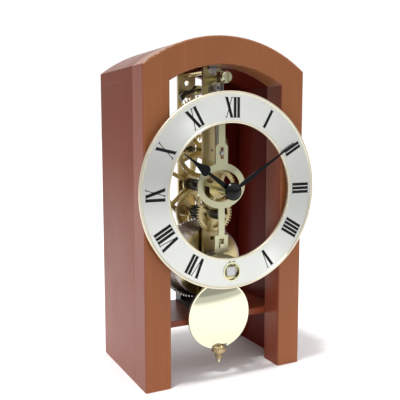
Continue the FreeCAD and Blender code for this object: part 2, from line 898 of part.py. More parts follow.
def ratchet_edges(teeth, tip, low):
    """Saw teeth: a short steep face and a long slope."""
    pitch = 2 * math.pi / teeth
    points = []
    for index in range(teeth):
        start = index * pitch
        points += [polar(low, start), polar(tip, start + 0.12 * pitch)]
    return [Part.makeLine(a, b) for a, b in zip(points, points[1:] + points[:1])]


def make_barrel():
    bore = d.barrel_arbor_radius.value + d.pivot_clearance.value
    front, wheel = d.drum_front.value, d.great_wheel_front.value
    outside = d.drum_radius.value
    inside = outside - d.drum_wall.value
    edges = wheel_teeth(GREAT_TEETH, GREAT_MODULE, 0.0)
    drum = flat_wheel(edges, wheel, d.great_wheel_back.value - wheel, bore)
    drum = drum.fuse(tube_y(outside, front, wheel, inside)).removeSplitter()
    shaped("barrel_drum", drum, z=d.barrel_height)

    cap = new_body("barrel_cap")
    cap_back = d.drum_front + d.cap_thickness
    turned(
        cap,
        [(d.drum_front, cap_back, d.drum_radius - d.drum_wall)],
        bore=d.barrel_arbor_radius + d.pivot_clearance,
    )
    finish(cap, "barrel_cap", z=d.barrel_height)

    space = 0.5
    strip = spiral_strip(
        d.barrel_arbor_radius.value + 1.0, inside - 1.2, 9, 0.45, cap_back.value + space, wheel - space
    )
    shaped("mainspring", strip, z=d.barrel_height)

    radius = d.barrel_arbor_radius.value
    square_back = d.winding_square_back.value
    arbor = tube_y(radius, square_back, d.back_plate_front.value - 0.2)
    pivot_start, pivot_end = d.back_plate_front.value - 0.2, rear_face.value + 0.6
    arbor = arbor.fuse(tube_y(rear_barrel_pivot.value, pivot_start, pivot_end))
    side, start = d.winding_square.value, d.winding_square_front.value
    square = Part.makeBox(side, square_back - start, side, Vector(-side / 2, start, -side / 2))
    rim = [edge for edge in square.Edges if abs(edge.BoundBox.YMax - start) < 1e-6]
    square = square.makeChamfer(0.4, rim)
    shaped("barrel_arbor", arbor.fuse(square).removeSplitter(), z=d.barrel_height)

    thickness = d.ratchet_back.value - d.ratchet_front.value
    edges = ratchet_edges(RATCHET_TEETH, d.ratchet_radius.value, d.ratchet_root_radius.value)
    ratchet = flat_wheel(edges, d.ratchet_front.value, thickness, radius)
    shaped("ratchet_wheel", ratchet, z=d.barrel_height)
    make_click()


def make_click():
    """The pawl and its leaf spring, drawn over the barrel's axis and turned half round to hang under it.

    The pawl's nose stands just clear of the ratchet teeth."""
    boss = 2.2
    click = new_body("click")
    slab(
        click,
        d.ratchet_front,
        d.ratchet_back,
        loop_of(
            outline,
            [
                (boss, -0.2, boss),
                (0, boss, boss),
                (-boss, -0.2, boss),
                (-1.3, -1.8),
                (2.5, -6.5),
                (4.0, -5.4),
            ],
        ),
        loop_of(circle, 0, 0, small_thread_radius + d.pivot_clearance),
    )
    pivot_height = d.barrel_height - d.click_pivot_drop
    finish(click, "click", x=-d.click_pivot_offset, z=pivot_height, turn=180)

    leaf_low = d.click_pivot_drop + boss + 0.15
    spring = new_body("click_spring")
    left, block_right = -d.plate_half_width + 0.6, -d.plate_half_width + 3.6
    front, back = d.ratchet_front + 0.2, d.front_plate_front
    slab(spring, front, d.ratchet_back, loop_of(rectangle, left, leaf_low, 4.0, leaf_low + 0.5))
    slab(
        spring,
        front,
        back,
        loop_of(rectangle, left, leaf_low, block_right, leaf_low + 2.4),
        loop_of(circle, -spring_screw_offset, spring_screw_drop, small_thread_radius),
    )
    finish(spring, "click_spring", z=d.barrel_height, turn=180)

    thread = small_thread_radius.value
    reach = plate_back.value
    holder_height = d.barrel_height - spring_screw_drop
    pivot = screw(BARREL_SCREW_HEAD, 0.9, thread, reach - d.ratchet_front.value + 0.1, 60)
    holder = screw(1.2, 0.7, thread, reach - front.value, 15)
    places = (
        placed(pivot, -d.click_pivot_offset.value, d.ratchet_front.value - 0.1, pivot_height.value),
        placed(holder, spring_screw_offset.value, front.value, holder_height.value),
    )
    group("click_screws", places)


# ---------------------------------------------------------------- going train


def arbor_with_pinion(steps, leaves, module, start, end):
    """A steel arbor turned in steps, its pinion cut in one with it, with a gap straight down."""
    shape = flat_wheel(pinion_leaves(leaves, module, gap_down(leaves)), start, end - start, 0.3)
    for front, back, radius in steps:
        shape = shape.fuse(tube_y(radius, front, back))
    return shape.removeSplitter()


def make_train():
    pivot, thick = d.pivot_radius.value, d.wheel_thickness.value
    front_pivot = d.front_plate_front.value + 0.2
    front_shoulder = plate_back.value + 0.3
    rear_shoulder = d.back_plate_front.value - 0.3
    rear_pivot = rear_face.value - 0.2
    cock_shoulder = d.cock_front.value - 0.3
    cock_end = (d.cock_front + d.cock_thickness).value - 0.2

    bold = d.arbor_radius.value
    steps = [
        (front_pivot, front_shoulder, pivot),
        (front_shoulder, cock_shoulder, bold),
        (cock_shoulder, cock_end, pivot),
    ]
    shape = arbor_with_pinion(steps, SECOND_LEAVES, GREAT_MODULE, 33.0, d.second_wheel_front.value - 0.3)
    shaped("second_arbor", shape, z=d.second_height)
    edges = wheel_teeth(SECOND_TEETH, SECOND_MODULE, 0.0)
    wheel = flat_wheel(edges, d.second_wheel_front.value, thick, bold, 4, 4.0, 10.4, 2.0, 0.4)
    shaped("second_wheel", wheel, z=d.second_height)

    radius = d.centre_arbor_radius.value
    tip = d.nut_front.value + nut_crown.value + 0.1
    steps = [(tip, rear_shoulder, radius), (rear_shoulder, rear_pivot, pivot)]
    start, end = d.second_wheel_front.value - 1.0, d.cock_front.value + 1.4
    shape = arbor_with_pinion(steps, CENTRE_LEAVES, SECOND_MODULE, start, end)
    shaped("centre_arbor", shape, z=d.centre_height)
    edges = wheel_teeth(CENTRE_TEETH, CENTRE_MODULE, 0.0)
    wheel = flat_wheel(edges, d.centre_wheel_front.value, thick, radius, 5, 5.2, 16.2, 2.4, 0.2)
    shaped("centre_wheel", wheel, z=d.centre_height)

    fine = d.fine_arbor_radius.value
    trains = (
        ("third", d.third_height, THIRD_LEAVES, CENTRE_MODULE, fine, d.centre_wheel_front.value),
        ("escape", d.escape_height, ESCAPE_LEAVES, THIRD_MODULE, fine * 0.8, d.third_wheel_front.value),
    )
    for name, height, leaves, module, radius, mesh_front in trains:
        steps = [
            (front_pivot, front_shoulder, pivot * 0.999),
            (front_shoulder, rear_shoulder, radius),
            (rear_shoulder, rear_pivot, pivot * 0.999),
        ]
        shape = arbor_with_pinion(steps, leaves, module, mesh_front - 1.5, mesh_front + thick + 1.5)
        shaped(name + "_arbor", shape, z=height)
    edges = wheel_teeth(THIRD_TEETH, THIRD_MODULE, 0.0)
    wheel = flat_wheel(edges, d.third_wheel_front.value, thick, fine, 5, 4.4, 13.6, 2.2, 0.5)
    shaped("third_wheel", wheel, z=d.third_height)
    shape = flat_wheel(
        escape_edges(), d.escape_wheel_front.value, thick, fine * 0.8, 5, 3.2, 9.3, 1.6, 0.1
    )
    shaped("escape_wheel", shape, z=d.escape_height)
    make_second_cock()


def escape_edges():
    """The escape wheel's slender pointed teeth, leaning forward."""
    pitch = 2 * math.pi / ESCAPE_TEETH
    low, tip = d.escape_root_radius.value, d.escape_radius.value
    points = []
    for index in range(ESCAPE_TEETH):
        start = index * pitch
        points += [
            polar(low, start - 0.30 * pitch),
            polar(tip, start + 0.22 * pitch),
            polar(tip, start + 0.32 * pitch),
            polar(low, start + 0.22 * pitch),
        ]
    return [Part.makeLine(a, b) for a, b in zip(points, points[1:] + points[:1])]


def make_second_cock():
    """A cock on the back plate: its arm carries the second arbor's rear pivot clear of the centre wheel."""
    half = d.cock_half_width
    bottom = d.barrel_height + 4.5
    block_top = d.barrel_height + 17.5
    arm_back = d.cock_front + d.cock_thickness
    shoulder = d.second_height + 1.6
    cock = new_body("second_cock")
    arm = [(-half, bottom), (half, bottom), (half, shoulder, half * 1.1), (-half, shoulder)]
    pivot_hole = loop_of(circle, 0, d.second_height, d.pivot_radius + d.pivot_clearance)
    slab(cock, d.cock_front, arm_back, loop_of(outline, arm), pivot_hole)
    slab(cock, arm_back, d.back_plate_front, loop_of(rectangle, -half, bottom, half, block_top))
    thread_start = d.back_plate_front - 4.0
    for height in cock_screw_heights:
        cut_slab(cock, thread_start, d.back_plate_front, loop_of(circle, 0, height, small_thread_radius))
    finish(cock, "second_cock")
    cock_screw = screw(1.7, 1.0, small_thread_radius.value, d.plate_thickness.value + 4.0, 70)
    heights = [height.value for height in cock_screw_heights]
    group("cock_screws", [placed(cock_screw, 0, rear_face.value, height, 180) for height in heights])


# ---------------------------------------------------------------- motion work and hands


hand_seat_step = as_size(0.4)
cannon_seat_step = as_size(0.35)
nut_crown = as_size(1.4)


def make_motion_work():
    pipe, bore = d.cannon_pipe_radius.value, d.centre_arbor_radius.value
    front = d.cannon_front.value
    seat_back = d.minute_hand_front.value + d.hand_thickness.value
    edges = pinion_leaves(CANNON_LEAVES, MINUTE_MODULE, 0.0)
    cannon = flat_wheel(edges, front, d.minute_wheel_front.value + 1.6 - front, bore)
    cannon = cannon.fuse(tube_y(pipe, seat_back, front, bore))
    seat = tube_y(pipe - cannon_seat_step.value, d.minute_hand_front.value, seat_back, bore)
    cannon = cannon.fuse(seat).removeSplitter()
    shaped("cannon_pinion", cannon, z=d.centre_height)

    stud_radius = stud_tail_radius.value + 0.1
    hub, bore = 1.8, stud_radius + d.pivot_clearance.value
    wheel_front, thick = d.minute_wheel_front.value, d.minute_wheel_thickness.value
    edges = pinion_leaves(MINUTE_LEAVES, HOUR_MODULE, 0.0)
    start = d.hour_wheel_front.value - 0.4
    pinion = flat_wheel(edges, start, wheel_front - start, bore)
    pinion = pinion.fuse(tube_y(hub, wheel_front, wheel_front + thick + 0.8, bore)).removeSplitter()
    shaped("minute_pinion", pinion, z=d.minute_post_height)
    edges = wheel_teeth(MINUTE_TEETH, MINUTE_MODULE, gap_up(MINUTE_TEETH))
    wheel = flat_wheel(edges, wheel_front, thick, hub, 4, 4.4, 8.2, 2.0, 0.3)
    shaped("minute_wheel", wheel, z=d.minute_post_height)

    stud = new_body("minute_stud")
    clip_front, clip_back = d.hour_wheel_front - 1.5, d.hour_wheel_front - 0.6
    plate_front = d.front_plate_front
    post = stud_tail_radius + 0.1
    steps = [
        (clip_front, clip_back, as_size(1.6)),
        (clip_back, plate_front, post),
        (plate_front, plate_back, stud_tail_radius),
    ]
    turned(stud, steps)
    finish(stud, "minute_stud", z=d.minute_post_height)

    bore = pipe + d.pivot_clearance.value
    outside = d.hour_pipe_radius.value
    wheel_front, thick = d.hour_wheel_front.value, d.hour_wheel_thickness.value
    edges = wheel_teeth(HOUR_TEETH, HOUR_MODULE, gap_down(HOUR_TEETH))
    wheel = flat_wheel(edges, wheel_front, thick, outside, 4, 5.2, 8.8, 2.2, 0.4)
    shaped("hour_wheel", wheel, z=d.centre_height)
    hour_pipe = new_body("hour_pipe")
    seat_front, seat_back = d.hour_hand_front, d.hour_hand_front + d.hand_thickness
    steps = [
        (seat_front, seat_back, d.hour_pipe_radius - hand_seat_step),
        (seat_back, d.cannon_front - 0.6, d.hour_pipe_radius),
    ]
    turned(hour_pipe, steps, bore=d.cannon_pipe_radius + d.pivot_clearance)
    finish(hour_pipe, "hour_pipe", z=d.centre_height)


def both_sides(half):
    """A closed outline about x = 0 from its right half, drawn upward: the left half runs back down."""
    left = []
    for index in range(len(half) - 1, -1, -1):
        run = half[index - 1][2:] if index else ()
        left.append((-half[index][0], half[index][1], *run))
    return half + left


def make_hands():
    """Black spade hour hand and slender minute hand, each drawn pointing up and then turned to its time."""
    hub_edge, tip = as_size(3.0), as_size(0.25)
    front, back = d.hour_hand_front, d.hour_hand_front + d.hand_thickness
    boss = as_size(4.2)
    hour = new_body("hour_hand")
    half = [
        (d.hour_stem_half_width, hub_edge),
        (d.hour_neck_half_width, d.hour_neck_reach, d.spade_radius),
        (d.spade_half_width, d.spade_reach, as_size(-30.0)),
        (d.spade_point_half_width, d.spade_point_reach),
        (tip, d.hour_hand_length),
    ]
    slab(hour, front, back, loop_of(outline, both_sides(half)))
    slab(hour, front, back, loop_of(circle, 0, 0, boss))
    cut_slab(hour, front, back, loop_of(circle, 0, 0, d.hour_pipe_radius - hand_seat_step))
    finish(hour, "hour_hand", z=d.centre_height, turn=d.hour_hand_angle)

    front, back = d.minute_hand_front, d.minute_hand_front + d.hand_thickness
    minute = new_body("minute_hand")
    half = [
        (d.minute_root_half_width, hub_edge),
        (d.minute_belly_half_width, d.minute_belly_reach),
        (d.minute_waist_half_width, d.minute_waist_reach),
        (tip, d.minute_hand_length),
    ]
    slab(minute, front, back, loop_of(outline, both_sides(half)))
    slab(minute, front, back, loop_of(circle, 0, 0, boss - 0.6))
    cut_slab(minute, front, back, loop_of(circle, 0, 0, d.cannon_pipe_radius - cannon_seat_step))
    finish(minute, "minute_hand", z=d.centre_height, turn=d.minute_hand_angle)

    nut = new_body("hand_nut")
    sketch = new_sketch(nut, "XY_Plane")
    rim_front, back = d.nut_front + d.nut_dome, d.minute_hand_front
    dome_radius = (d.nut_radius * d.nut_radius + d.nut_dome * d.nut_dome) / (d.nut_dome * 2)
    thread, thread_front = d.centre_arbor_radius, d.nut_front + nut_crown
    outline(
        sketch,
        [
            (0, d.nut_front, dome_radius),
            (d.nut_radius, rim_front),
            (d.nut_radius, back),
            (thread, back),
            (thread, thread_front),
            (0, thread_front),
        ],
    )
    spin(nut, sketch, "V_Axis")
    finish(nut, "hand_nut", z=d.centre_height)


# ---------------------------------------------------------------- escapement


def anchor_outline(sketch):
    """An arched anchor about the escape wheel's centre, its two pallets just clear of the teeth."""
    drop = d.anchor_height - d.escape_height
    tip, under, top = d.pallet_radius, d.anchor_inner_radius, d.anchor_outer_radius

    def at(radius, degrees):
        angle = math.radians(degrees)
        return (radius * math.sin(angle), radius * math.cos(angle) - drop)

    corners = [
        (*at(tip, 46), tip),
        at(tip, 36),
        (*at(under, 34), under),
        at(under, -34),
        (*at(tip, -36), tip),
        at(tip, -46),
        (*at(top, -42), -top),
        at(top, 42),
    ]
    outline(sketch, corners)


def make_escapement():
    front = d.anchor_front
    back = front + d.anchor_thickness
    bore = d.fine_arbor_radius
    anchor = new_body("anchor")
    slab(anchor, front, back, anchor_outline)
    slab(anchor, front, back, loop_of(circle, 0, 0, d.anchor_hub_radius))
    cut_slab(anchor, front, back, loop_of(circle, 0, 0, bore))
    finish(anchor, "anchor", z=d.anchor_height)

    collet = new_body("anchor_collet")
    turned(collet, [(front - 2.2, front, d.anchor_hub_radius * 0.93)], bore=bore)
    finish(collet, "anchor_collet", z=d.anchor_height)

    arbor = new_body("anchor_arbor")
    crutch_start = d.crutch_front - 0.5
    shoulder = d.back_plate_front - 0.3
    turned(arbor, [(crutch_start, shoulder, bore), (shoulder, rear_face - 0.2, d.pivot_radius)])
    finish(arbor, "anchor_arbor", z=d.anchor_height)

    cock = new_body("anchor_cock")
    half, bottom = d.anchor_cock_half_width, d.anchor_cock_bottom
    shoulder = d.anchor_height + 0.4
    corners = [(-half, bottom), (half, bottom), (half, shoulder, half * 1.15), (-half, shoulder)]
    slab(
        cock,
        d.anchor_cock_front,
        d.front_plate_front,
        loop_of(outline, corners),
        loop_of(circle, 0, d.anchor_height, bore + d.pivot_clearance),
        loop_of(circle, 0, anchor_screw_height, small_thread_radius),
    )
    finish(cock, "anchor_cock")
    reach = plate_back.value - d.anchor_cock_front.value
    cock_screw = screw(1.9, 1.2, small_thread_radius.value, reach, 25)
    group("anchor_cock_screw", [placed(cock_screw, 0, d.anchor_cock_front.value, anchor_screw_height.value)])

    crutch = new_body("crutch")
    front = d.crutch_front
    back = front + d.crutch_thickness
    half = d.crutch_half_width
    low = d.crutch_pin_height - d.anchor_height
    slab(crutch, front, back, loop_of(rectangle, -half, low - 1.4, half, -0.5))
    slab(crutch, front - 0.5, front + 1.7, loop_of(circle, 0, 0, 2.2))
    slab(crutch, d.pendulum_front - 1.0, front, loop_of(circle, 0, low, d.crutch_pin_radius))
    cut_slab(crutch, front - 0.5, front + 1.7, loop_of(circle, 0, 0, bore))
    finish(crutch, "crutch", z=d.anchor_height)


# ---------------------------------------------------------------- suspension and pendulum


def make_suspension():
    post = new_body("suspension_post")
    sketch = new_sketch(post, "XY_Plane")
    thread, front = as_size(0.9), d.suspension_post_front
    radius = d.suspension_post_radius
    outline(
        sketch,
        [
            (thread, front),
            (radius, front),
            (radius, d.front_plate_front),
            (post_tail_radius, d.front_plate_front),
            (post_tail_radius, plate_back),
            (0, plate_back),
            (0, front + 5.0),
            (thread, front + 5.0),
        ],
    )
    spin(post, sketch, "V_Axis")
    finish(post, "suspension_post", z=d.suspension_height)

    head = (d.suspension_post_front - d.suspension_screw_front).value
    shape = screw(d.suspension_screw_radius.value, head, thread.value, 4.8, 88)
    group("suspension_screw", [placed(shape, 0, front.value, d.suspension_height.value)])

    block = new_body("suspension_block")
    corners = (-2.0, d.flex_height - d.suspension_height, 2.0, 3.2)
    depth_front, depth_back = d.pendulum_front - 1.5, d.pendulum_front + 2.5
    slab(block, depth_front, depth_back, loop_of(rectangle, *corners), loop_of(circle, 0, 0, radius))
    finish(block, "suspension_block", z=d.suspension_height)

    strip = doc.addObject("Part::Box", "Box_suspension_spring")
    thickness, width = 0.25, 3.6
    bind(strip, "Length", thickness)
    bind(strip, "Width", width)
    bind(strip, "Height", d.flex_height - 0.05 - d.rod_top)
    middle = d.pendulum_front + d.pendulum_thickness / 2
    finish(strip, "suspension_spring", x=-thickness / 2, y=middle - width / 2, z=d.rod_top)


def make_pendulum():
    front = d.pendulum_front
    back = front + d.pendulum_thickness
    half, arm = d.rod_half_width, d.rod_half_width * 0.95
    slot = d.crutch_pin_radius + 0.1
    rod = new_body("pendulum_rod")
    loop_top = d.loop_height + d.loop_half_height
    loop_bottom = d.loop_height - d.loop_half_height
    inner_width = d.loop_half_width - d.loop_band
    inner_height = d.loop_half_height - d.loop_band_tall
    slab(
        rod,
        front,
        back,
        loop_of(oval, d.loop_height, d.loop_half_width, d.loop_half_height, d.loop_half_height * 0.85),
        loop_of(oval, d.loop_height, inner_width, inner_height, inner_height * 0.85),
    )
    low, high = loop_top - 1.0, d.slot_block_top
    block = d.slot_block_half_width
    corners = [
        (-block, low),
        (block, low),
        (block, high - 1.5),
        (block - 1.5, high),
        (half, high),
        (half, d.rod_top),
        (-half, d.rod_top),
        (-half, high),
        (1.5 - block.value, high),
        (-block, high - 1.5),
    ]
    slot_loop = loop_of(
        rectangle, -slot, d.crutch_pin_height - 3.2, slot, d.crutch_pin_height + 3.2
    )
    slab(rod, front, back, loop_of(outline, corners), slot_loop)
    hook, hook_low, hook_high = d.hook_block_half_width, d.hook_block_bottom, d.hook_block_top
    corners = [
        (-hook, hook_low),
        (hook, hook_low),
        (hook, hook_high),
        (arm, hook_high),
        (arm, loop_bottom + 1.0),
        (-arm, loop_bottom + 1.0),
        (-arm, hook_high),
        (-hook, hook_high),
    ]
    window_low = hook_low + 2.6
    window_high = hook_high - 2.0
    slab(rod, front, back, loop_of(outline, corners), loop_of(rectangle, -1.6, window_low, 1.6, window_high))
    clamp = loop_of(rectangle, -half, d.rod_top - 4.0, half, d.rod_top)
    slab(rod, front - 1.3, back + 1.3, clamp)
    finish(rod, "pendulum_rod")
    make_bob_hanger(back, window_low)
    make_bob()


def make_bob_hanger(rod_back, window_low):
    """The hook, the lower loop that clears the winding arbor, and the threaded rod through the bob."""
    front = d.bob_rod_depth - 0.5
    back = front + 1.0
    half = 1.3
    hanger = new_body("bob_hanger")
    wide, tall, band = d.hanger_loop_half_width, d.hanger_loop_half_height, d.hanger_band
    middle = d.barrel_height
    inner_wide, inner_tall = wide - band, tall - band
    slab(
        hanger,
        front,
        back,
        loop_of(oval, middle, wide, tall, tall * 0.8),
        loop_of(oval, middle, inner_wide, inner_tall, inner_tall * 0.8),
    )
    hook_low = window_low + 0.1
    top = window_low + 3.6
    slab(hanger, front, back, loop_of(rectangle, -half, middle + tall - 0.8, half, top))
    nose_front = d.pendulum_front - 0.9
    slab(hanger, nose_front, front, loop_of(rectangle, -half, hook_low, half, hook_low + 1.2))
    nose = loop_of(rectangle, -half, hook_low, half, hook_low + 2.2)
    slab(hanger, nose_front, d.pendulum_front - 0.1, nose)
    sketch = new_sketch(hanger, "XY_Plane", d.bob_rod_bottom)
    circle(sketch, 0, d.bob_rod_depth, d.bob_rod_radius)
    pad_sketch(hanger, sketch, middle - tall + band / 2 - d.bob_rod_bottom)
    finish(hanger, "bob_hanger")


def bob_section(side):
    """Half the section of one bulging shell: side is -1 for the front shell and 1 for the rear one."""
    seam, skin = d.bob_rod_depth, d.bob_skin
    bulge = d.bob_half_thickness - d.bob_rim_half_thickness
    dish = d.bob_radius - d.bob_rim_width
    dome = (dish * dish + bulge * bulge) / (bulge * 2)
    pole, rim = seam + d.bob_half_thickness * side, seam + d.bob_rim_half_thickness * side
    return [
        (0, pole, dome * -side),
        (dish, rim),
        (d.bob_radius, rim),
        (d.bob_radius, seam),
        (dish, seam),
        (dish, rim - skin * side, dome * side),
        (0, pole - skin * side),
    ]


def make_bob():
    """The bob is a lens of two thin shells that meet in the plane of its rod."""
    radius = d.bob_radius
    channel = d.bob_rod_radius + 0.2
    cuts = (
        (radius + 1.0, (radius + 1.0) * 2, channel),
        (d.nut_notch_top - d.bob_height, as_size(4.0), d.nut_notch_radius),
    )
    for label, side in (("bob_front", -1), ("bob_back", 1)):
        shell = new_body(label)
        sketch = new_sketch(shell, "XY_Plane")
        outline(sketch, bob_section(side))
        spin(shell, sketch, "V_Axis")
        for top, length, cut_radius in cuts:
            sketch = new_sketch(shell, "XY_Plane", top)
            circle(sketch, 0, d.bob_rod_depth, cut_radius)
            feature = shell.newObject("PartDesign::Pocket", "Pocket")
            feature.Profile = sketch
            bind(feature, "Length", length)
        finish(shell, label, z=d.bob_height)

    nut = new_body("rating_nut")
    sketch = new_sketch(nut, "XZ_Plane")
    bore = d.bob_rod_radius + d.pivot_clearance
    wide, top, low = d.rating_nut_radius, d.rating_nut_top, d.rating_nut_bottom
    outline(
        sketch,
        [
            (bore, low),
            (1.9, low),
            (1.9, low + 1.4),
            (wide - 1.2, low + 3.8),
            (wide, low + 4.2),
            (wide, top - 1.6, 4.0),
            (2.2, top),
            (bore, top),
        ],
    )
    spin(nut, sketch, "V_Axis")
    finish(nut, "rating_nut", y=d.bob_rod_depth)


# ---------------------------------------------------------------- build, check and write

make_case()
make_dial()
make_movement_frame()
make_barrel()
make_train()
make_motion_work()
make_hands()
make_escapement()
make_suspension()
make_pendulum()
doc.recompute()

for thing in doc.Objects:
    if "Invalid" in thing.State or "Error" in thing.State:
        raise RuntimeError(f"{thing.Name} ({thing.Label}) did not recompute: {thing.State}")
for part in parts:
    shape = part.Shape
    if shape.isNull() or not shape.isValid() or shape.Volume <= 0:
        raise RuntimeError(f"{part.Label} has no valid solid")

os.makedirs("parts", exist_ok=True)
for part in parts:
    part.Shape.exportStep(f"parts/{part.Label}.step")
print(len(parts), "pieces written")
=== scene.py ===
import bpy
import bmesh
import math
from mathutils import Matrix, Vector


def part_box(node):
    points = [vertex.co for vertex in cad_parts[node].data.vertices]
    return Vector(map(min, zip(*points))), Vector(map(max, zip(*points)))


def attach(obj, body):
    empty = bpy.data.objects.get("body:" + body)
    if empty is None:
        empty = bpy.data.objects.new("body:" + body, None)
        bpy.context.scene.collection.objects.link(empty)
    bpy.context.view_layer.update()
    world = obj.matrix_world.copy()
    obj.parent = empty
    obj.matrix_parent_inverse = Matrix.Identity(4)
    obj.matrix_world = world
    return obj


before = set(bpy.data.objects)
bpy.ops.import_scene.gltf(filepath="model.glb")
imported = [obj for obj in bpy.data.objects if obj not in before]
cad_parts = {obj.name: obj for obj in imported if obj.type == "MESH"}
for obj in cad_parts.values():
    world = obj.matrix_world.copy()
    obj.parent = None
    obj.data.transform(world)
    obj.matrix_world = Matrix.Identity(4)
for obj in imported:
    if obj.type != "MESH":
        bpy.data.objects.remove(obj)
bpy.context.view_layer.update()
MM = 0.001


# ---------------------------------------------------------------- material helpers


EDGE_SAMPLES = 4
EDGE_CONTRAST = 4.0


class Tree:
    """Builds one node material."""

    def __init__(self, name):
        self.material = bpy.data.materials.new(name)
        self.material.use_nodes = True
        self.nodes = self.material.node_tree.nodes
        self.links = self.material.node_tree.links
        self.nodes.clear()
        self.place = self.add("ShaderNodeTexCoord").outputs["Object"]

    def add(self, kind, settings=None, **inputs):
        """A node; each input is a number, colour or vector, or a socket to link."""
        node = self.nodes.new(kind)
        for key, value in (settings or {}).items():
            setattr(node, key, value)
        for key, value in inputs.items():
            socket = node.inputs[int(key[1:])] if key[0] == "i" and key[1:].isdigit() else node.inputs[key]
            if isinstance(value, bpy.types.NodeSocket):
                self.links.new(value, socket)
            else:
                socket.default_value = value
        return node

    def math(self, operation, a, b=0.0, clamp=False):
        node = self.add("ShaderNodeMath", {"operation": operation, "use_clamp": clamp}, i0=a, i1=b)
        return node.outputs[0]

    def vector(self, operation, a, b=(0.0, 0.0, 0.0)):
        return self.add("ShaderNodeVectorMath", {"operation": operation}, i0=a, i1=b)

    def stretched(self, scale, shift=(0.0, 0.0, 0.0)):
        """The object's own coordinates, moved and then multiplied axis by axis."""
        moved = self.vector("ADD", self.place, shift).outputs[0]
        return self.vector("MULTIPLY", moved, scale).outputs[0]

    def noise(self, vector, scale=1.0, detail=3.0, roughness=0.5, distortion=0.0):
        node = self.add(
            "ShaderNodeTexNoise",
            None,
            Vector=vector,
            Scale=scale,
            Detail=detail,
            Roughness=roughness,
            Distortion=distortion,
        )
        return node.outputs["Fac"]

    def noise_along(self, value, scale, detail=2.0):
        """Noise that changes along one number only, such as a radius."""
        node = self.add("ShaderNodeTexNoise", {"noise_dimensions": "1D"}, W=value, Scale=scale, Detail=detail)
        return node.outputs["Fac"]

    def ramp(self, value, *stops):
        """A colour ramp; each stop is (position, colour), where the colour may be one grey number."""
        node = self.add("ShaderNodeValToRGB", None, Fac=value)
        elements = node.color_ramp.elements
        while len(elements) < len(stops):
            elements.new(0.5)
        for element, (position, colour) in zip(elements, stops):
            element.position = position
            rgb = (colour, colour, colour) if isinstance(colour, float) else colour
            element.color = (*rgb, 1.0)
        return node.outputs["Color"]

    def mix(self, factor, a, b, blend="MIX"):
        node = self.add("ShaderNodeMix", {"data_type": "RGBA", "blend_type": blend}, Factor=factor)
        for index, value in ((6, a), (7, b)):
            if isinstance(value, bpy.types.NodeSocket):
                self.links.new(value, node.inputs[index])
            else:
                node.inputs[index].default_value = (*value, 1.0)
        return node.outputs[2]

    def bump(self, height, strength, distance, normal=None):
        inputs = {"Height": height, "Strength": strength, "Distance": distance}
        if normal is not None:
            inputs["Normal"] = normal
        return self.add("ShaderNodeBump", None, **inputs).outputs["Normal"]

    def edge(self, radius):
        """(rounded normal, 0 on flat faces and rising to 1 on sharp edges)."""
        rounded = self.add("ShaderNodeBevel", {"samples": EDGE_SAMPLES}, Radius=radius).outputs["Normal"]
        same = self.vector("DOT_PRODUCT", rounded, self.surface_normal()).outputs["Value"]
        wear = self.math("SUBTRACT", 1.0, same, clamp=True)
        return rounded, self.math("MULTIPLY", wear, EDGE_CONTRAST, clamp=True)

    def about_axis(self, height):
        """(radius, offset) of a point about the line along Y at x = 0 and this height."""
        from_axis = self.vector("SUBTRACT", self.place, (0.0, 0.0, height)).outputs[0]
        offset = self.vector("MULTIPLY", from_axis, (1.0, 0.0, 1.0)).outputs[0]
        radius = self.vector("LENGTH", offset).outputs["Value"]
        return radius, offset

    def surface_normal(self):
        return self.add("ShaderNodeNewGeometry").outputs["Normal"]

    def parts(self, vector):
        """The X, Y and Z outputs of a vector."""
        return self.add("ShaderNodeSeparateXYZ", None, Vector=vector).outputs

    def finish(self, **inputs):
        shader = self.add("ShaderNodeBsdfPrincipled", None, **inputs)
        output = self.add("ShaderNodeOutputMaterial")
        self.links.new(shader.outputs[0], output.inputs["Surface"])
        return self.material


LIGHT_WOOD, DARK_WOOD = (0.38, 0.126, 0.044), (0.305, 0.096, 0.034)
RED_LIGHT, RED_DARK = (0.30, 0.071, 0.034), (0.25, 0.056, 0.026)
INSIDE_PAINTED_SHADE = (0.60, 0.26, 0.28)

# noise frequencies of the wood, as (across the grain, along the grain)
FIGURE, FIBRE, PORE = (55.0, 4.0), (760.0, 14.0), (1900.0, 70.0)
FIGURE_SHARE, FIBRE_SHARE = 0.55, 0.45

# painted light and shade that change with height: colour tints of the wood at the foot and at the top of the
# case, lighter at the front frame's top and darker at the panels' tops
FOOT_HEIGHT, TOP_HEIGHT = 0.03, 0.16
FOOT_PAINTED_SHADE, FRONT_TOP_PAINTED_LIGHT, PANEL_TOP_PAINTED_SHADE = (1.0, 0.94, 0.84), (1.0, 1.10, 1.18), (0.72, 0.80, 0.86)


